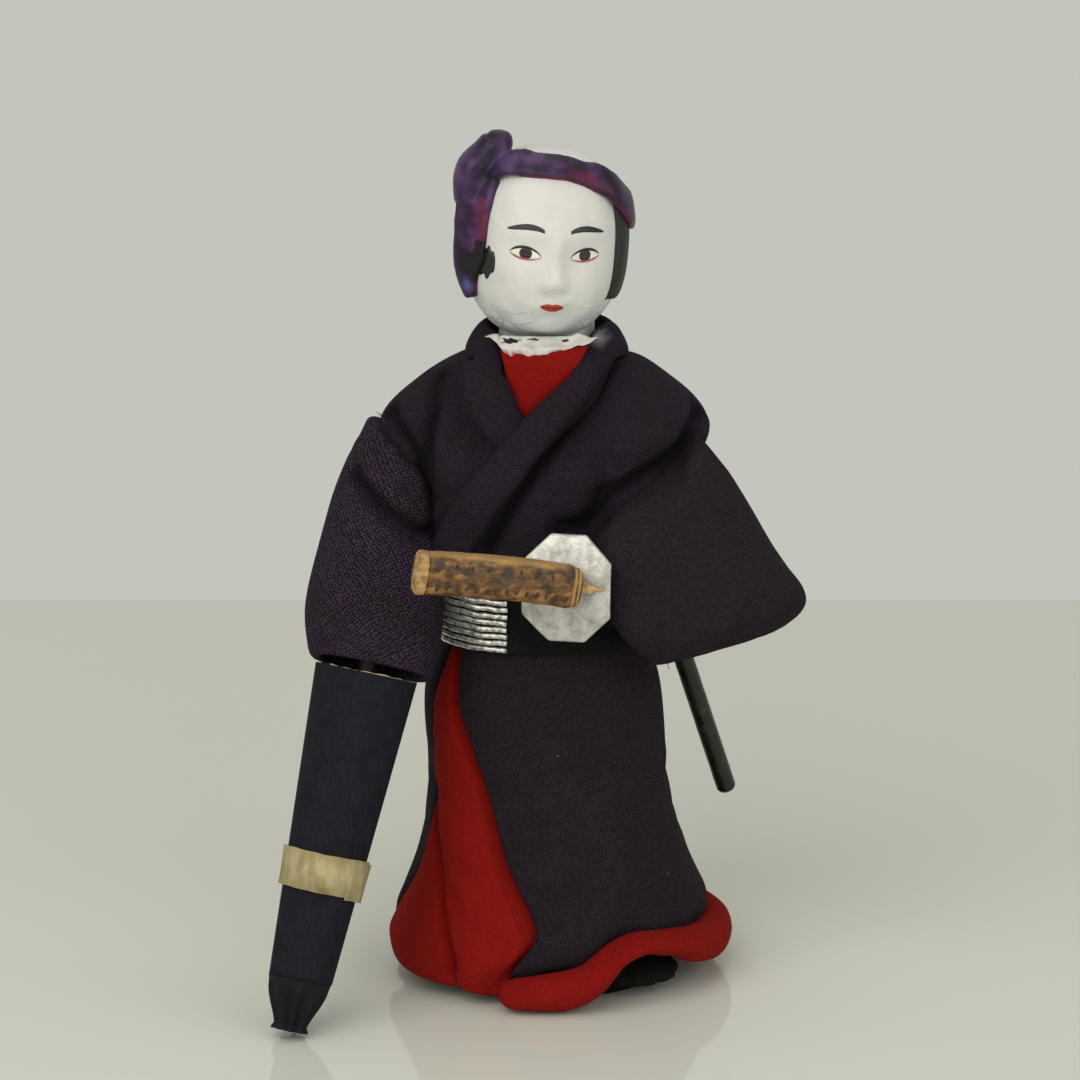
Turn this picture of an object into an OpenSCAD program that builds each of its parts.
// Small standing doll in a wadded crepe robe, with a turning head, a rolled paper
// umbrella held in the right sleeve, a sword hilt in the chest and a scabbard under the sash.
// Millimetres. The doll stands on z = 0, faces -Y, and its own right hand is at -X.

/* [Robe heights] */
// Height of the neck opening
neck_z = 63.4; // [62.4:0.2:63.8]
// Height of the shoulder points
shoulder_z = 57; // [56:0.5:57.5]
// Height of the armpits
armpit_z = 51; // [50:0.5:52]
// Height of the chest
chest_z = 46.5; // [45:0.5:48]
// Height of the middle of the sash
waist_z = 38.5; // [37.5:0.5:39.5]
// Height of the hips
hip_z = 29; // [27:0.5:31]
// Height of the knees
knee_z = 20; // [18:0.5:22]
// Height where the skirt flares
flare_z = 11.5; // [10.5:0.5:13]
// Height of the skirt's lower edge
hem_z = 4.6; // [4.2:0.1:5.2]

/* [Robe widths] */
// Width at the neck opening
neck_w = 17.6; // [17:0.2:18.4]
// Width across the shoulder points
shoulder_w = 32.4; // [31:0.2:34]
// Width at the armpits
armpit_w = 26.4; // [25:0.2:27]
// Width of the chest
chest_w = 23; // [22:0.2:23.4]
// Width under the sash
waist_w = 19.8; // [19:0.2:20.6]
// Width at the hips
hip_w = 23.6; // [22:0.2:25]
// Width at the knees
knee_w = 24.4; // [23:0.2:26]
// Width where the skirt flares
flare_w = 27.4; // [26:0.2:29]
// Width of the skirt's lower edge
hem_w = 33.4; // [32:0.2:36]

/* [Robe depths] */
// Depth at the neck opening
neck_d = 15; // [14:0.2:16]
// Depth of the shoulders
shoulder_d = 16; // [15:0.2:17]
// Depth of the chest
chest_d = 19.2; // [18:0.2:20]
// Depth under the sash
waist_d = 19.6; // [18.6:0.2:20.2]
// Depth at the knees
knee_d = 21.6; // [20.5:0.2:23]
// Depth where the skirt flares
flare_d = 25; // [24:0.2:27]
// Depth of the skirt's lower edge
hem_d = 30; // [29:0.2:33]

/* [Cloth] */
// Thickness of the padded crepe
robe_t = 1.2; // [0.8:0.1:1.5]
// Gap between cloth pieces that lie on each other
cloth_gap = 0.3; // [0.2:0.05:0.4]
// Thickness of the red padded hem
roll_t = 3.8; // [3.2:0.1:4]
// Width of the collar strip
collar_w = 4.4; // [3.6:0.2:4.8]
// Thickness of the collar strip
collar_t = 1.5; // [1:0.1:1.8]
// Height of the sash
sash_h = 6; // [5:0.2:6.4]
// Thickness of the sash
sash_t = 0.9; // [0.6:0.1:1.2]
// Number of foil cords on the sash
cord_count = 8; // [5:1:9]
// Height of one foil cord
cord_h = 0.48; // [0.3:0.02:0.54]

/* [Core and base] */
// Diameter of the body core
core_d = 10.4; // [9:0.2:11]
// Width of the oval base
base_w = 25; // [23:0.2:26]
// Depth of the oval base
base_d = 23.6; // [22:0.2:24]
// Height of the oval base
base_h = 2; // [1.2:0.1:2]

/* [Head] */
// Width of the bare head
head_w = 15.4; // [14.4:0.1:16]
// Depth of the bare head
head_d = 16.4; // [15.4:0.1:17]
// Height of the bare head
head_h = 19; // [18:0.1:20]
// Height of the head's middle above the neck opening
head_rise = 11.8; // [11.4:0.1:12.6]
// Sideways tilt of the head in degrees
head_roll = 4; // [0:1:8]
// Turn of the face towards the doll's left in degrees
head_yaw = 9; // [0:1:15]
// Diameter of the neck
neck_dia = 9.4; // [8.4:0.1:9.6]
// Diameter of the peg below the neck
peg_d = 3; // [2:0.1:4]
// Length of the peg below the neck
peg_l = 11; // [8:0.5:14]
// Thickness of the hair
hair_t = 0.5; // [0.3:0.05:0.7]
// Thickness of the headband
band_t = 0.6; // [0.4:0.05:0.8]

/* [Umbrella] */
// Length of the umbrella from its foot to its mouth
umbrella_l = 36; // [35:0.2:36.4]
// Diameter of the paper roll at its mouth
mouth_d = 10.3; // [9:0.1:10.8]
// Diameter of the paper roll above its pleated foot
foot_d = 6.4; // [5.6:0.1:7]
// Length of the pleated foot
foot_l = 5.2; // [4:0.1:6]
// Number of pleats at the foot
pleats = 9; // [6:1:10]
// Thickness of the umbrella's paper
paper_t = 0.45; // [0.3:0.05:0.6]
// Diameter of the umbrella's stick
stick_d = 1.8; // [1.2:0.1:2.2]
// Length of stick inside the sleeve
stick_in = 5.5; // [4:0.5:6]
// Width of the paper band
band_w = 3.8; // [2.5:0.1:5]
// Height of the paper band along the umbrella
band_at = 13.9; // [9:0.1:18]

/* [Sword] */
// Length of the hilt
hilt_l = 15.4; // [13:0.2:17]
// Height of the hilt's oval
hilt_w = 4.25; // [3.6:0.05:4.8]
// Thickness of the hilt's oval
hilt_t = 3; // [2.4:0.1:3.6]
// Width of the guard
guard_w = 8.8; // [8:0.1:9.2]
// Height of the guard
guard_h = 10.6; // [9.6:0.1:11]
// Thickness of the guard
guard_t = 0.5; // [0.3:0.05:0.8]
// Diameter of the sword's stem
stem_d = 1.2; // [0.8:0.1:1.6]
// Length of stem behind the guard
stem_l = 14; // [11:0.5:15]
// Diameter of the scabbard
scabbard_d = 2; // [1.6:0.1:2.2]
// Length of the scabbard
scabbard_l = 26.8; // [24:0.2:27.2]

/* [Hidden] */

$fn = 48;
// Points round a cloth ring and steps along a cloth piece, and the same for hidden filling
ring_n = 32;
rise_n = 9;
fill_n = 22;
fill_rise = 5;
// Roundness of the robe's plan, where 2 is an ellipse
robe_round = 2.3;
// Running clearance round pegs, sticks and stems
run_gap = 0.08;
// Clearance between parts that turn or slide past cloth
move_gap = 0.4;
// Sideways place of the neck, the upper body and the skirt
neck_x = -0.3;
chest_x = -0.6;
hem_x = 0.4;
// Forward place of the chest
chest_y = -0.8;

purple = "#33243c";
red = "#a3160f";
black = "#17181a";
white = "#efeeea";
cotton = "#ded8c8";

// Outer face of the robe: height, half width, half depth, middle x, middle y
body_rows = [
    [hem_z, hem_w / 2, hem_d / 2, hem_x, 0],
    [flare_z, flare_w / 2, flare_d / 2, hem_x, 0],
    [knee_z, knee_w / 2, knee_d / 2, 0, 0],
    [hip_z, hip_w / 2, (knee_d + waist_d) / 4, chest_x, 0],
    [waist_z - sash_h / 2, waist_w / 2, waist_d / 2, chest_x, 0],
    [waist_z + sash_h / 2, waist_w / 2, waist_d / 2, chest_x, chest_y / 2],
    [chest_z, chest_w / 2, chest_d / 2, chest_x, chest_y],
    [armpit_z, armpit_w / 2, chest_d / 2, chest_x, chest_y],
    [shoulder_z, shoulder_w / 2, shoulder_d / 2, chest_x, 0],
    [neck_z, neck_w / 2, neck_d / 2, neck_x, 0]
];

// Slanting front edge of the outer skirt and its edge at the doll's right side: height, angle
front_edge_rows = [
    [0.8, -108], [hem_z - 0.6, -102], [hem_z + 2.7, -95.5], [flare_z + 2.5, -109.7],
    [knee_z + 1.8, -122], [hip_z, -136], [waist_z - 4.5, -147.5], [waist_z, -152]
];
side_edge_rows = [[hem_z, 181], [flare_z, 187], [knee_z, 195], [hip_z, 203], [waist_z, 206]];
// Crease between the two red folds: height, angle
crease_rows = [[hem_z, 234], [flare_z, 216], [knee_z, 204]];
// Padded hem: angle, height of its underside, share of its full thickness, place outside the robe's face
hem_rows = [
    [-108, 0.2, 0.85, 0.1], [-98, 0.2, 0.9, 0.3], [-88, 0.2, 1.1, 0.4], [-80, 0.8, 1.18, 0.2],
    [-72, 2.2, 1.04, -0.2], [-62, 3.6, 0.84, -0.5], [-52, 3.9, 0.8, -0.9], [-42, 3.7, 0.82, -1],
    [-33, 2.9, 0.98, -0.8], [-14, 1.9, 1.14, -0.7], [20, 1.4, 1.1, -0.7], [60, 1.1, 1, -0.5], [90, 1, 0.95, -0.5],
    [180, 0.9, 0.9, -0.5], [190, 0.9, 0.9, -0.5]
];
// Lower edge of the red folds: angle, height
fold_rows = [[180, 2.9], [195, 2.2], [210, 1.75], [225, 1.6], [240, 1.5], [250, 1.1], [262, 0.85]];

function unit(v) = v / norm(v);
function flat(rows) = [for (row = rows) each row];
function rounded(c, n) = sign(c) * pow(abs(c), 2 / n);
function mix(a, b, t) = a + (b - a) * t;
function ease(t) = t * t * (3 - 2 * t);
function clamp01(t) = min(1, max(0, t));

// Smooth reading of column k of a table at t, held at both ends
function slope(rows, k, i) =
    let (a = rows[max(0, i - 1)], b = rows[min(len(rows) - 1, i + 1)]) (b[k] - a[k]) / (b[0] - a[0]);
function span(rows, t) = max([for (i = [0 : len(rows) - 2]) if (i == 0 || rows[i][0] <= t) i]);
function read(rows, k, t) =
    let (
        i = span(rows, t),
        h = rows[i + 1][0] - rows[i][0],
        s = clamp01((t - rows[i][0]) / h),
        m0 = slope(rows, k, i) * h,
        m1 = slope(rows, k, i + 1) * h,
        p0 = rows[i][k],
        p1 = rows[i + 1][k]
    )
    p0 * (1 + 2 * s) * (1 - s) * (1 - s) + m0 * s * (1 - s) * (1 - s)
        + p1 * s * s * (3 - 2 * s) + m1 * s * s * (s - 1);

// A point of the robe's face at an angle and height, moved outwards by off
function body_pt(a, z, off = 0) =
    [
        read(body_rows, 3, z) + (read(body_rows, 1, z) + off) * rounded(cos(a), robe_round),
        read(body_rows, 4, z) + (read(body_rows, 2, z) + off) * rounded(sin(a), robe_round),
        z
    ];
// A point of the robe's front at a sideways place and height, moved outwards by off
function front_pt(x, z, off = 0) =
    let (t = min(0.999, abs(x - read(body_rows, 3, z)) / (read(body_rows, 1, z) + off)))
    [
        x,
        read(body_rows, 4, z)
            - (read(body_rows, 2, z) + off) * pow(1 - pow(t, robe_round), 1 / robe_round),
        z
    ];
function ring_angles(n) = [for (j = [0 : n - 1]) 360 * j / n];
function steps(a, b, n) = [for (i = [0 : n]) mix(a, b, i / n)];
function fill_rings(z0, z1, off) =
    [for (z = steps(z0, z1, fill_rise)) [for (a = ring_angles(fill_n)) body_pt(a, z, off)]];
function round_rings(c, r, z0, z1) =
    [for (z = steps(z0, z1, fill_rise)) [for (a = ring_angles(fill_n)) [c[0] + r * cos(a), c[1] + r * sin(a), z]]];
// Oval ring about c, from the half axes u and v
function oval(c, u, v, n = 24, round = 2) =
    [for (a = ring_angles(n)) c + u * rounded(cos(a), round) + v * rounded(sin(a), round)];

function wall_faces(n, m, closed, k = 0, flip = false) =
    [
        for (i = [0 : n - 2], j = [0 : m - (closed ? 1 : 2)])
            let (
                a = k + i * m + j,
                b = k + i * m + (j + 1) % m,
                c = b + m,
                d = a + m
            )
            each flip ? [[a, c, d], [a, b, c]] : [[a, d, c], [a, c, b]]
    ];

// Closed body through rings, which turn anticlockwise seen from the last one
module skin(rings) {
    n = len(rings);
    m = len(rings[0]);
    polyhedron(
        flat(rings),
        concat(
            wall_faces(n, m, true),
            [[for (j = [0 : m - 1]) j]],
            [[for (j = [m - 1 : -1 : 0]) (n - 1) * m + j]]
        )
    );
}

// Open tube between two sets of rings that rise together
module tube(outer, inner) {
    n = len(outer);
    m = len(outer[0]);
    k = n * m;
    t = (n - 1) * m;
    polyhedron(
        concat(flat(outer), flat(inner)),
        concat(
            wall_faces(n, m, true),
            wall_faces(n, m, true, k, true),
            [
                for (j = [0 : m - 1])
                    let (p = (j + 1) % m)
                    each [
                        [j, p, k + p], [j, k + p, k + j],
                        [t + p, t + j, k + t + j], [t + p, k + t + j, k + t + p]
                    ]
            ]
        )
    );
}

// Cup between rings that rise together, closed at the top
module cup(outer, inner) {
    n = len(outer);
    m = len(outer[0]);
    k = n * m;
    n2 = len(inner);
    polyhedron(
        concat(flat(outer), flat(inner)),
        concat(
            wall_faces(n, m, true),
            wall_faces(n2, m, true, k, true),
            [[for (j = [m - 1 : -1 : 0]) (n - 1) * m + j]],
            [[for (j = [0 : m - 1]) k + (n2 - 1) * m + j]],
            [
                for (j = [0 : m - 1])
                    let (p = (j + 1) % m)
                    each [[j, p, k + p], [j, k + p, k + j]]
            ]
        )
    );
}

// Panel between an outer and an inner sheet of points, rows rising, columns anticlockwise
module slab(outer, inner) {
    n = len(outer);
    m = len(outer[0]);
    k = n * m;
    t = (n - 1) * m;
    polyhedron(
        concat(flat(outer), flat(inner)),
        concat(
            wall_faces(n, m, false),
            wall_faces(n, m, false, k, true),
            [
                for (j = [0 : m - 2])
                    each [
                        [j, j + 1, k + j + 1], [j, k + j + 1, k + j],
                        [t + j + 1, t + j, k + t + j], [t + j + 1, k + t + j, k + t + j + 1]
                    ]
            ],
            [
                for (i = [0 : n - 2])
                    let (a = i * m, d = a + m, b = a + m - 1, c = b + m)
                    each [
                        [d, a, k + a], [d, k + a, k + d],
                        [b, c, k + c], [b, k + c, k + b]
                    ]
            ]
        )
    );
}

// Puts a piece that stands on the origin onto a point, along a direction
module along(at, dir) {
    translate(at)
        rotate([0, acos(dir[2] / norm(dir)), atan2(dir[1], dir[0])])
            children();
}

// Base and core

// Oval plate under the robe, covered in black crepe, with a padded foot under the lifted hem
foot_at = [0.3 * base_w, -0.3 * base_d];
foot_r = 0.17 * base_d;
foot_h = 1.4;

module base_block() {
    color(black) {
        linear_extrude(base_h)
            polygon([for (a = ring_angles(ring_n * 2)) [base_w / 2 * cos(a), base_d / 2 * sin(a)]]);
        translate([foot_at[0], foot_at[1], 0]) cylinder(h = base_h + foot_h, r = foot_r);
    }
}

// Place of the core and of the neck
core_at = [neck_x, 0];
// Top of the core, just below the neck opening
core_top = neck_z - 1;
socket_l = peg_l + 1;

module body_core() {
    color("#b59a6c")
        difference() {
            translate(core_at)
                rotate_extrude()
                    polygon([
                        [0, base_h], [core_d / 2, base_h],
                        [core_d / 2, core_top - 1], [core_d / 2 - 1, core_top], [0, core_top]
                    ]);
            translate([core_at[0], core_at[1], core_top - socket_l])
                cylinder(h = socket_l + 1, d = peg_d + 2 * run_gap);
            stem_bore();
        }
}

// Skirt

skirt_top = waist_z - cloth_gap / 2;
chest_in = -robe_t - cloth_gap;
fold_in = robe_t + cloth_gap / 2;
skirt_in = -fold_in - robe_t - 1.5 * cloth_gap;

// Cotton filling between the core and the skirt
module skirt_wadding() {
    z0 = hem_z + 2.8;
    color(cotton)
        tube(
            fill_rings(z0, skirt_top, skirt_in),
            round_rings(core_at, core_d / 2 + cloth_gap, z0, skirt_top)
        );
}

// The skirt's lower edge rests on the padded hem
function hem_low(a) = read(hem_rows, 1, a);
function hem_thick(a) = roll_t * read(hem_rows, 2, a);
function skirt_edge(a) = hem_low(a) + hem_thick(a) + cloth_gap / 2;

// Outer robe from the slanting front edge, round the back, to the doll's right side
module outer_skirt() {
    function sheet(off) =
        [
            for (v = steps(0, 1, rise_n + 3))
                [
                    for (u = steps(0, 1, ring_n))
                        let (
                            z_front = mix(skirt_edge(-100), skirt_top, v),
                            z_side = mix(skirt_edge(180), skirt_top, v),
                            a = mix(read(front_edge_rows, 1, z_front), read(side_edge_rows, 1, z_side), u),
                            z = mix(skirt_edge(a), skirt_top, v)
                        )
                        body_pt(a, z, off)
                ]
        ];
    color(purple) slab(sheet(0), sheet(-robe_t));
}

// Red folds of the under robe that show between the edges of the outer skirt; an edge that is tucked
// goes in under the cloth beside it
module red_fold(rows_from, rows_to, z1, swell, tuck_from, tuck_to) {
    function reach(z) = 5 * ease(clamp01((z - hem_z - 1.5) / 2.5));
    // Each column: angle, share of the dip, share of the swell
    function columns(z) =
        let (a0 = read(rows_from, 1, z), a1 = read(rows_to, 1, z))
        concat(
            tuck_from ? [[a0 - reach(z), 1, 0], [a0 + 1.7, 1, 0]] : [],
            [
                for (u = steps(0, 1, 7))
                    [mix(a0 + (tuck_from ? 3.9 : 0.8), a1 - (tuck_to ? 3.9 : 0.8), u), 0, sin(180 * u)]
            ],
            tuck_to ? [[a1 - 1.7, 1, 0], [a1 + reach(z), 1, 0]] : []
        );
    function sheet(off, bulge) =
        [
            for (v = steps(0, 1, round(z1 / 1.9)))
                [
                    for (c = columns(mix(1.5, z1, v)))
                        let (
                            z = mix(read(fold_rows, 1, c[0]), z1, v),
                            curl = 0.9 * pow(clamp01(1 - z / 6), 2),
                            dip = c[1] * ease(clamp01((z - hem_z + 3.3) / 1.8))
                        )
                        body_pt(c[0], z, off + bulge * c[2] * (1 - v * v) - curl - (fold_in + cloth_gap / 3) * dip)
                ]
        ];
    color(red) slab(sheet(0, swell), sheet(-robe_t, 0));
}

front_edge_turn_rows = [for (r = front_edge_rows) [r[0], r[1] + 360]];

module under_robe_side_fold() {
    red_fold(side_edge_rows, crease_rows, knee_z - 1.5, 0.6, 1, 1);
}

module under_robe_front_fold() {
    crease_up_rows = concat(crease_rows, [[hip_z, 204.2], [waist_z, 206.4]]);
    red_fold(crease_up_rows, front_edge_turn_rows, waist_z - sash_h / 2 - 0.6, 1.1, 0, 1);
}

// Red padded hem under the edge of the outer skirt
hem_from = -100;
hem_to = 170;

module hem_roll() {
    function mid(a) =
        let (p = body_pt(a, hem_z, read(hem_rows, 3, a)))
        [p[0], p[1], hem_low(a) + hem_thick(a) / 2];
    rings = [
        for (a = steps(hem_from, hem_to, 38))
            let (
                t = unit(mid(a + 1) - mid(a - 1)),
                out = unit([t[1], -t[0], 0]),
                end = min(1, 0.35 + min(a - hem_from, hem_to - a) / 9)
            )
            oval(mid(a), out * roll_t * 0.58 * end, cross(t, out) * hem_thick(a) / 2 * end, 10)
    ];
    color(red) skin(rings);
}

// Upper body

// Cotton filling between the core and the bodice
module chest_wadding() {
    top = neck_z - neck_dip - 1;
    color(cotton)
        difference() {
            tube(
                fill_rings(waist_z + cloth_gap, top, chest_in),
                round_rings(core_at, core_d / 2 + cloth_gap, waist_z + cloth_gap, top)
            );
            stem_bore();
        }
}

// Neckline, lower in front
neck_dip = 2.6;
function neckline(a) = neck_z - neck_dip * pow(max(0, -sin(a)), 6);

module bodice() {
    z0 = waist_z + cloth_gap / 2;
    function rings(off) =
        [for (v = steps(0, 1, rise_n)) [for (a = ring_angles(ring_n)) body_pt(a, mix(z0, neckline(a), v), off)]];
    color(purple)
        difference() {
            tube(rings(0), rings(-robe_t));
            stem_bore();
        }
}

// Red under collar that fills the V of the collar strip
panel_t = 0.5;
cross_z = 59.4;
cross_x = -2.7;

module chest_panel() {
    z0 = cross_z - 0.6;
    z1 = neck_z + 2.2;
    function sheet(off) =
        [
            for (v = steps(0, 1, 4))
                [
                    for (u = steps(0, 1, 6))
                        let (x0 = mix(cross_x - 0.8, neck_x - 4.4, v), x1 = mix(cross_x + 0.8, neck_x + 2.6, v))
                        front_pt(mix(x0, x1, u), mix(z0, z1, v), off)
                ]
        ];
    color(red) slab(sheet(cloth_gap / 2 + panel_t), sheet(cloth_gap / 2));
}

// Collar strip: over the chest from the sash, round the nape and down to the crossing
nape_w = collar_w - 0.9;
collar_rx = neck_w / 2 - 1.8;
collar_ry = neck_d / 2 - 1.5;
collar_lean = 27;
function collar_off(z) =
    cloth_gap / 2 + collar_t / 2 + (panel_t + cloth_gap / 2) * ease(clamp01((z - cross_z + 6) / 5));
function front_normal(x, z) =
    unit(cross(front_pt(x + 0.2, z) - front_pt(x - 0.2, z), front_pt(x, z + 0.2) - front_pt(x, z - 0.2)));
// Each step of the strip: place, outward direction, width, direction across it where it is cut slanting
function nape_step(a) =
    let (rise = 0.5 * ease(clamp01((sin(a) + 1) / 2)))
    [
        [
            neck_x + collar_rx * cos(a),
            collar_ry * sin(a),
            neck_z + cloth_gap / 2 + nape_w / 2 * cos(collar_lean) + collar_t / 2 * sin(collar_lean) + rise
        ],
        unit([cos(a), sin(a), tan(collar_lean)]),
        nape_w,
        undef
    ];
function chest_step(x, rise, share, slant) =
    let (z = mix(waist_z + sash_h / 2, neck_z, rise), out = front_normal(x, z))
    [front_pt(x, z) + out * collar_off(z), out, collar_w * share, slant];
function chest_steps(rows, n) =
    [
        for (t = steps(0, len(rows) - 1, n))
            chest_step(read(rows, 1, t), read(rows, 2, t), read(rows, 3, t), undef)
    ];
// Strip over the chest, and the short strip under it: step, x, share of the rise from sash to neck, share of the width
over_rows = [
    [0, -9.8, 0.1, 1], [1, -9.1, 0.226, 1], [2, -7, 0.415, 0.98], [3, -4.8, 0.571, 0.95],
    [4, -2.4, 0.724, 0.93], [5, 1, 0.885, 0.9], [6, 3.6, 0.965, 0.84]
];
under_rows = [[0, -6.4, 0.975, 0.95], [1, -6.1, 0.92, 1.15], [2, -5.6, 0.84, 1.15]];

module collar_band() {
    path = concat(
        chest_steps(over_rows, 14),
        [for (a = steps(-46, 224, 18)) nape_step(a)],
        chest_steps(under_rows, 3),
        [chest_step(-4.9, 0.765, 1.1, unit([-0.652, 0, -0.758]))]
    );
    n = len(path);
    rings = [
        for (i = [0 : n - 1])
            let (
                t = unit(path[min(n - 1, i + 1)][0] - path[max(0, i - 1)][0]),
                out = unit(path[i][1] - t * (path[i][1] * t)),
                wide = is_undef(path[i][3]) ? cross(t, out) : path[i][3]
            )
            oval(path[i][0], out * collar_t / 2, wide * path[i][2] / 2, 10, 2.6)
    ];
    color(purple) skin(rings);
}

// Sash

scabbard_dir = unit([-4.2, -5, 13.9]);
scabbard_end = [18.2, 8, 16];
function scabbard_at(z) = scabbard_end + scabbard_dir * ((z - scabbard_end[2]) / scabbard_dir[2]);

// The sash stands off the robe where the scabbard is pushed under it
function sash_swell(a, z) =
    let (
        p = scabbard_at(z),
        need = p[0] + scabbard_d / 2 + move_gap - (chest_x + waist_w / 2 + cloth_gap),
        turn = (a > 180 ? a - 360 : a) - atan2(p[1], p[0])
    )
    max(0, need) * exp(-pow(turn / 32, 2));
function sash_pt(a, z, off) = body_pt(a, z, cloth_gap + off + sash_swell(a, z));

module sash() {
    z0 = waist_z - sash_h / 2;
    function rings(off) =
        [for (z = steps(z0, z0 + sash_h, 3)) [for (a = ring_angles(ring_n + 8)) sash_pt(a, z, off)]];
    color(black) tube(rings(sash_t), rings(0));
}

// Flat foil cords laid side by side along the front of the sash
module sash_foil_cords() {
    pitch = (sash_h - 0.4) / cord_count;
    cord_t = 0.35;
    lift = sash_t + 0.08;
    function cord_z(i) = waist_z - sash_h / 2 + 0.2 + pitch * (i + 0.5);
    function sheet(i, off) =
        [
            for (z = [cord_z(i) - cord_h / 2, cord_z(i) + cord_h / 2])
                [for (a = steps(-158 + i * 0.8, -106, 6)) sash_pt(a, z, off)]
        ];
    color("silver")
        for (i = [0 : cord_count - 1])
            slab(sheet(i, lift + cord_t), sheet(i, lift));
}

// Flat knot at the back of the sash
module sash_knot() {
    knot_w = 11;
    knot_h = 7;
    knot_t = 2.4;
    back = sash_pt(90, waist_z, sash_t)[1] + knot_t / 2 + 0.1;
    rings = [
        for (u = steps(-1, 1, 6))
            let (pinch = 1 - 0.35 * (1 - abs(u)) - 0.45 * pow(abs(u), 8))
            oval(
                [chest_x + u * knot_w / 2, back + 0.25 * u * u, waist_z + 0.3],
                [0, knot_t / 2 * pinch, 0],
                [0, 0, knot_h / 2 * pinch],
                12, 2.6
            )
    ];
    color(black) skin(rings);
}

// Sleeves

// Umbrella line, which the right sleeve follows
umbrella_foot_at = [-25.6, -22.6, 0.8];
umbrella_up = unit([7.55, 10.6, 33.7]);
mouth_at = umbrella_foot_at + umbrella_up * umbrella_l;
across = unit(cross([0, 1, 0], umbrella_up));
inward = cross(umbrella_up, across);

// A sleeve section between its ends at lower and higher x: middle, half axes along the width and the depth
function chord(low, high, half_depth, pitch = 0) =
    [(low + high) / 2, (high - low) / 2, half_depth * [0, cos(pitch), sin(pitch)]];
// Section moved in by a wall, with its middle moved along the sleeve by push
function inset(s, wall, push = [0, 0, 0]) =
    [s[0] + push, s[1] * (1 - wall / norm(s[1])), s[2] * (1 - wall / norm(s[2]))];
// Sections between the given ones, on a smooth curve
function section_rows(list) =
    [for (i = [0 : len(list) - 1]) concat([i], list[i][0], list[i][1], list[i][2])];
function section_at(rows, t) =
    [for (k = [1, 4, 7]) [for (d = [0 : 2]) read(rows, k + d, t)]];
function sleeve_rings(list, wall, from, to, n) =
    let (rows = section_rows(list))
    [
        for (t = steps(from, to, n))
            let (s = inset(section_at(rows, t), wall))
            oval(s[0], s[1], s[2], 24, 2.4)
    ];

side_x = chest_x - waist_w / 2 - cloth_gap - sash_t;
sleeve_half_w = 5.4;
// Right sleeve from its lower edge, square to the umbrella, up to the shoulder
right_sections = [
    [mouth_at + umbrella_up * move_gap + across * 0.2, across * sleeve_half_w, inward * 5.1],
    chord([side_x - 12.4, -8.4, 40.2], [side_x - 0.3, -9.2, 38.4], 5.4, -10),
    chord([side_x - 10.9, -5.2, 46.2], [side_x - 0.2, -6.4, 42.6], 5.3, -8),
    chord([side_x - 8.9, -2.6, 52.2], [side_x - 0.7, -3.8, 46.8], 5, -4),
    chord([side_x - 5.9, 0.2, 56.6], [side_x - 2.9, -1.4, 51.2], 4.4)
];
// Left sleeve from its lower edge up to the shoulder
left_sections = [
    chord([9.8, -12.8, 35.4], [23.6, -7.4, 38], 3.2),
    chord([6.9, -13.8, 38.8], [25.4, -6.8, 40.8], 4.1),
    chord([4.7, -13.6, 42.8], [22.2, -6, 46.2], 4),
    chord([4.1, -13.4, 46.8], [18.8, -5.8, 52], 2.9),
    chord([4.2, -12.6, 50.4], [15.6, -5.4, 57.6], 1.2)
];
sleeve_end = len(right_sections) - 1;
sleeve_wall = robe_t;
wadding_edge = 0.25;

module sleeve(list) {
    color(purple)
        cup(
            sleeve_rings(list, 0, 0, sleeve_end, 10),
            sleeve_rings(list, sleeve_wall, 0, sleeve_end - 0.6, 7)
        );
}

module sleeve_wadding(list) {
    skin(sleeve_rings(list, sleeve_wall + cloth_gap, wadding_edge, sleeve_end - 0.7, 6));
}

module right_sleeve() {
    sleeve(right_sections);
}

module right_sleeve_wadding() {
    color(cotton)
        difference() {
            sleeve_wadding(right_sections);
            along(mouth_at, umbrella_up)
                translate([0, 0, -1])
                    cylinder(h = stick_in + 2, d = stick_d + 2 * run_gap);
        }
}

module left_sleeve() {
    sleeve(left_sections);
}

module left_sleeve_wadding() {
    color(cotton) sleeve_wadding(left_sections);
}

// Head

head_z = neck_z + head_rise;
head_at = [-0.6, -1.2, head_z];

module head_frame() {
    translate(head_at) rotate([0, head_roll, head_yaw]) children();
}

// Bulge of the given height about a longitude and latitude
function bump(lon, lat, at_lon, at_lat, wide, tall, height) =
    height * exp(-pow((lon - at_lon) / wide, 2) - pow((lat - at_lat) / tall, 2));
// A point of the bare head in its own frame, moved outwards by off; the face looks along -Y
head_round = 2.45;
function head_pt(lon, lat, off = 0) =
    let (
        low = max(0, -sin(lat)),
        jaw = 1 - 0.02 * low,
        front = max(0, -sin(lon)),
        face = bump(lon, lat, 270, -12, 8, 10, 1.1) + bump(lon, lat, 270, -46, 22, 12, 0.35)
            - bump(lon, lat, 246, 4, 12, 7, 0.25) - bump(lon, lat, 294, 4, 12, 7, 0.25),
        flat_face = 1 - 0.07 * front * cos(lat),
        flat_r = rounded(cos(lat), head_round)
    )
    [
        (head_w / 2 * jaw + off + face) * flat_r * cos(lon),
        (head_d / 2 * flat_face * jaw + off + face) * flat_r * sin(lon),
        (head_h / 2 + off) * rounded(sin(lat), head_round)
    ];

module head() {
    lats = steps(-84, 84, 20);
    neck_bore_top = head_z - 3;
    color(white)
        difference() {
            head_frame() skin([for (lat = lats) [for (lon = ring_angles(36)) head_pt(lon, lat)]]);
            translate([core_at[0], core_at[1], neck_z - 10])
                cylinder(h = neck_bore_top - neck_z + 10, d = neck_dia + 2 * run_gap);
        }
}

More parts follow.
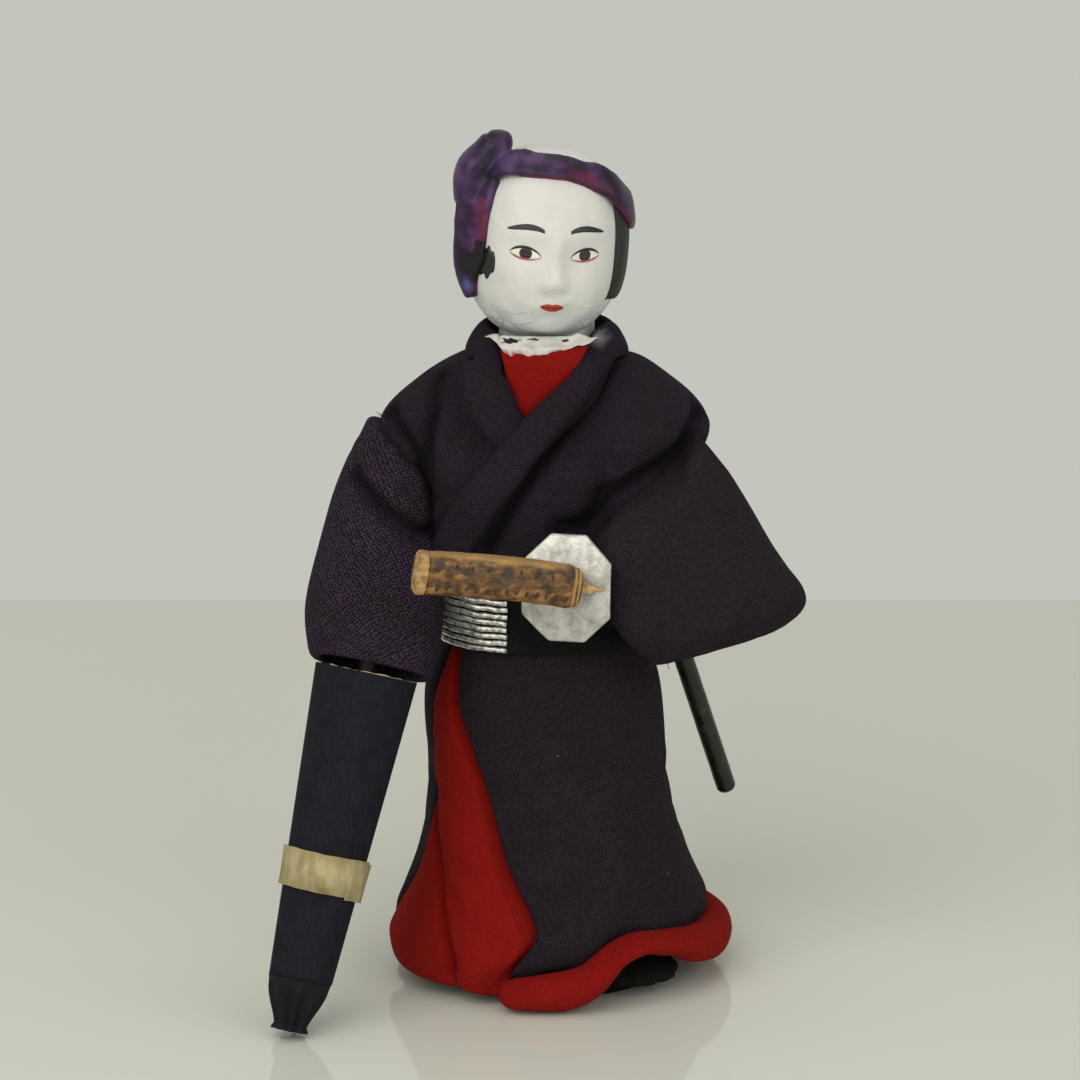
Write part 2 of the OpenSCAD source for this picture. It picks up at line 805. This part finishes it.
// Turned neck that sits on the core, with the peg that turns in the core's socket
module neck_peg() {
    seat = core_top + 0.2;
    color(white)
        translate(core_at)
            rotate_extrude()
                polygon([
                    [0, seat - peg_l], [peg_d / 2, seat - peg_l], [peg_d / 2, seat],
                    [neck_dia / 2 - 0.6, seat], [neck_dia / 2, seat + 0.6],
                    [neck_dia / 2, head_z - 3.3], [0, head_z - 3.3]
                ]);
}

hair_gap = 0.1;
// Headband, arched over the brow and low at the sides and nape: longitude, latitude of its middle, half width
band_rows = [
    [206, 47.5, 10.5], [218, 52, 12], [230, 56, 12.5], [245, 58, 12.5], [268, 58, 12.5], [287, 55, 12.5],
    [300, 50, 13], [310, 44.5, 13.5], [320, 37, 14], [332, 28, 14], [344, 21, 12.5], [358, 17, 11],
    [380, 15, 10.5], [450, 18, 10.5], [500, 28, 10.5], [526, 36.5, 10.5]
];
function turned(lon) = lon < 206 ? lon + 360 : lon;
function band_mid(lon) = read(band_rows, 1, turned(lon));
function band_half(lon) = read(band_rows, 2, turned(lon));
function behind(lon) = ease(clamp01((sin(lon) + 0.86) / 0.18));
// Lift of the headband, which lies on the bare brow in front and on the hair behind
function band_in(lon) = mix(hair_gap, hair_t + 2 * hair_gap, behind(lon));

// Hair at the sides and back, below and under the headband
module hair() {
    function top(lon) = mix(band_mid(lon) - 2, 20, ease(clamp01((lon - 146) / 14)));
    function low(lon) = mix(-26, -38, ease(clamp01(sin(lon))));
    function sheet(off) =
        [for (v = steps(0, 1, 5)) [for (lon = steps(-36, 180, 22)) head_pt(lon, mix(low(lon), top(lon), v), off)]];
    color(black) head_frame() slab(sheet(hair_gap + hair_t), sheet(hair_gap));
}

// Painted cloth band whose ends go into the knot
module headband() {
    function sheet(off) =
        [
            for (v = steps(-1, 1, 4))
                [
                    for (lon = steps(206, 526, 40))
                        head_pt(lon, band_mid(lon) + band_half(lon) * v, off * (1 - 0.35 * v * v) + band_in(lon))
                ]
        ];
    color(purple) head_frame() slab(sheet(band_t), sheet(0));
}

// A soft lump beside the head, in the head's frame: step, place, half width, half thickness
module lump(rows, n) {
    function mid(t) = [for (k = [1 : 3]) read(rows, k, t)];
    rings = [
        for (t = steps(0, len(rows) - 1, n))
            let (
                p = mid(t),
                dir = unit(mid(min(len(rows) - 1, t + 0.1)) - mid(max(0, t - 0.1))),
                out0 = unit([p[0], 0.2 * p[1], 0.2 * p[2]]),
                out = unit(out0 - dir * (out0 * dir))
            )
            oval(p, out * read(rows, 5, t), cross(dir, out) * read(rows, 4, t), 12)
    ];
    color(purple) head_frame() skin(rings);
}

// Side and top of the bare head
temple = head_w / 2 + hair_gap;
crown = head_h / 2;

// Knot of the headband at the doll's right temple, with one end standing up
module headband_knot() {
    lump([
        [0, -temple - 0.4, -1.2, crown - 4.3, 1.5, 1.1],
        [1, -temple - 0.1, -1, crown - 2.5, 2, 1.5],
        [2, -temple + 1.2, -1, crown - 0.7, 1.9, 1.25],
        [3, -temple + 2.2, -1.1, crown + 0.7, 1.6, 1.25],
        [4, -temple + 2.4, -1.2, crown + 1.8, 0.9, 0.8]
    ], 10);
}

// Loose end of the headband, pasted on the temple and drawn out to a tip beside the jaw
module headband_tail() {
    thick = 1.8;
    // Each row: share of the way down, first and last longitude
    tail_rows = [[0, 183, 213], [0.35, 183, 214], [0.62, 183, 213], [0.8, 183.5, 204], [1, 185, 194]];
    function top(lon) = mix(21, 33, ease(clamp01((lon - 199) / 5)));
    // Thick along the side of the head, thin towards the cheek and at the tip
    function rise(u, v) = thick * (1 - 0.72 * ease(u)) * (1 - 0.55 * v * v) * (0.45 + 0.55 * ease(clamp01(5 * u)));
    function sheet(on) =
        [
            for (v = steps(1, 0, 8))
                [
                    for (u = steps(0, 1, 7))
                        let (
                            lon = mix(read(tail_rows, 1, v), read(tail_rows, 2, v), u),
                            lat = mix(top(lon), -30, v)
                        )
                        head_pt(lon, lat, hair_gap + on * rise(u, v))
                ]
        ];
    color(purple) head_frame() slab(sheet(1), sheet(0));
}

// Umbrella

module on_umbrella() {
    along(umbrella_foot_at, umbrella_up) children();
}

function paper_r(h) = mix(foot_d / 2, mouth_d / 2, (h - foot_l) / (umbrella_l - foot_l));
roll_gap = 0.05;
roll_recess = 2.4;

module umbrella_stick() {
    color("#8a6a3c")
        on_umbrella()
            translate([0, 0, 0.5])
                cylinder(h = umbrella_l + stick_in - 0.5, d = stick_d);
}

// Paper rolled tightly round the stick, which fills the outer paper
module umbrella_core_roll() {
    h0 = foot_l + 0.2;
    h1 = umbrella_l - roll_recess;
    color("#23222b")
        on_umbrella()
            rotate_extrude()
                polygon([
                    [stick_d / 2 + roll_gap, h0], [paper_r(h0) - paper_t - roll_gap, h0],
                    [paper_r(h1) - paper_t - roll_gap, h1], [stick_d / 2 + roll_gap, h1]
                ]);
}

module umbrella_paper() {
    color("#23222b")
        on_umbrella()
            rotate_extrude()
                polygon([
                    [foot_d / 2 - paper_t, foot_l], [foot_d / 2, foot_l],
                    [mouth_d / 2, umbrella_l], [mouth_d / 2 - paper_t, umbrella_l]
                ]);
}

// Paper strip pasted round the roll, with its lapped end
module umbrella_band() {
    h0 = band_at;
    h1 = band_at + band_w;
    t = 0.2;
    lap = 34;
    color("#c9ba8e")
        on_umbrella() {
            rotate_extrude()
                polygon([
                    [paper_r(h0) + roll_gap, h0], [paper_r(h0) + roll_gap + t, h0],
                    [paper_r(h1) + roll_gap + t, h1], [paper_r(h1) + roll_gap, h1]
                ]);
            rotate([0, 0, -100])
                rotate_extrude(angle = lap)
                    polygon([
                        [paper_r(h0) + roll_gap + t / 2, h0 - 0.2], [paper_r(h0) + roll_gap + 2 * t, h0 - 0.2],
                        [paper_r(h1) + roll_gap + 2 * t, h1 - 0.2], [paper_r(h1) + roll_gap + t / 2, h1 - 0.2]
                    ]);
        }
}

// Pleats gathered round the stick and flared at the end
module umbrella_foot() {
    waist_r = stick_d / 2 + 0.55;
    rows = [
        [0, waist_r + 0.45, 0.12], [0.16, waist_r + 0.2, 0.1], [0.3, waist_r, 0.1],
        [0.7, mix(waist_r, foot_d / 2, 0.55), 0.16], [1, foot_d / 2 - 0.05, 0.03]
    ];
    function ring(t) =
        [
            for (a = ring_angles(pleats * 4))
                let (r = read(rows, 1, t) * (1 + read(rows, 2, t) * cos(pleats * a)))
                [r * cos(a), r * sin(a), t * (foot_l - roll_gap)]
        ];
    color("#1b1a20")
        on_umbrella()
            difference() {
                skin([for (t = steps(0, 1, 7)) ring(t)]);
                translate([0, 0, -1])
                    cylinder(h = foot_l + 2, d = stick_d + 2 * roll_gap);
            }
}

// Sword

guard_at = [1.5, -16, waist_z + 5.3];
stem_out = unit([-0.2, -0.97, 0.1]);
hilt_dir = unit([-15.75, -3.6, 2.6]);
hilt_at = guard_at + stem_out * (guard_t / 2 + hilt_t / 2 + 0.2) + [1.75, 0, 0.5];

module on_stem() {
    along(guard_at, stem_out) children();
}

// Hole that the stem is pushed into
module stem_bore() {
    on_stem()
        translate([0, 0, -stem_l - 0.5])
            cylinder(h = stem_l, d = stem_d + 2 * run_gap);
}

module sword_stem() {
    color("#8a6a3c")
        on_stem()
            translate([0, 0, -stem_l])
                cylinder(h = stem_l - guard_t / 2 - roll_gap, d = stem_d);
}

// Eight-sided plate
module sword_guard() {
    cut = guard_w * 0.3;
    w = guard_w / 2;
    h = guard_h / 2;
    color("silver")
        on_stem()
            rotate([0, 0, 90])
                translate([0, 0, -guard_t / 2])
                    linear_extrude(guard_t)
                        polygon([
                            [w, h - cut], [w - cut, h], [cut - w, h], [-w, h - cut],
                            [-w, cut - h], [cut - w, -h], [w - cut, -h], [w, cut - h]
                        ]);
}

// Frame of the hilt: x along it, z up
module on_hilt() {
    translate(hilt_at)
        rotate([0, 0, atan2(hilt_dir[1], hilt_dir[0])])
            rotate([0, -asin(hilt_dir[2]), 0])
                children();
}

cap_l = 1;

// Slightly bowed oval grip, cut square at its end and rounded at the guard
module sword_hilt() {
    function bow(x) = 0.5 * (1 - pow(2 * x / hilt_l - 1, 2));
    rings = [
        for (x = concat([0, 0.25, 0.8], steps(1.6, hilt_l, 8)))
            let (round = x < 1.5 ? sqrt(1 - pow(1 - (x + 0.25) / 1.75, 2)) : 1)
            oval([x, 0, bow(x)], [0, -hilt_t / 2 * round, 0], [0, 0, hilt_w / 2 * round], 20, 2.8)
    ];
    color("#7a4a1e") on_hilt() skin([for (r = rings) [for (i = [len(r) - 1 : -1 : 0]) r[i]]]);
}

module hilt_cap() {
    x0 = hilt_l + roll_gap;
    rings = [
        for (x = [x0, x0 + cap_l * 0.6, x0 + cap_l])
            let (s = x > x0 + cap_l * 0.8 ? 0.93 : 1.02)
            oval([x, 0, 0], [0, -hilt_t / 2 * s, 0], [0, 0, hilt_w / 2 * s], 20, 2.8)
    ];
    color("#b98a4a") on_hilt() skin([for (r = rings) [for (i = [len(r) - 1 : -1 : 0]) r[i]]]);
}

// Twisted paper point of the grip that is pasted on the guard
module hilt_pin() {
    color("#8a6a3c")
        on_hilt()
            translate([-0.05, 0, 0])
                rotate([0, -90, 0])
                    cylinder(h = 2.4, d1 = 1.2, d2 = 0.2);
}

module scabbard() {
    r = scabbard_d / 2;
    color(black)
        along(scabbard_end, scabbard_dir)
            rotate_extrude()
                polygon([
                    [0, 0], [r * 0.86, 0], [r, 0.25], [r, scabbard_l - 0.5], [r * 0.8, scabbard_l], [0, scabbard_l]
                ]);
}

base_block();
body_core();
skirt_wadding();
under_robe_side_fold();
under_robe_front_fold();
hem_roll();
outer_skirt();
chest_wadding();
bodice();
chest_panel();
collar_band();
sash();
sash_foil_cords();
sash_knot();
right_sleeve();
right_sleeve_wadding();
left_sleeve();
left_sleeve_wadding();
head();
neck_peg();
hair();
headband();
headband_knot();
headband_tail();
umbrella_stick();
umbrella_core_roll();
umbrella_paper();
umbrella_band();
umbrella_foot();
sword_hilt();
hilt_cap();
hilt_pin();
sword_guard();
sword_stem();
scabbard();
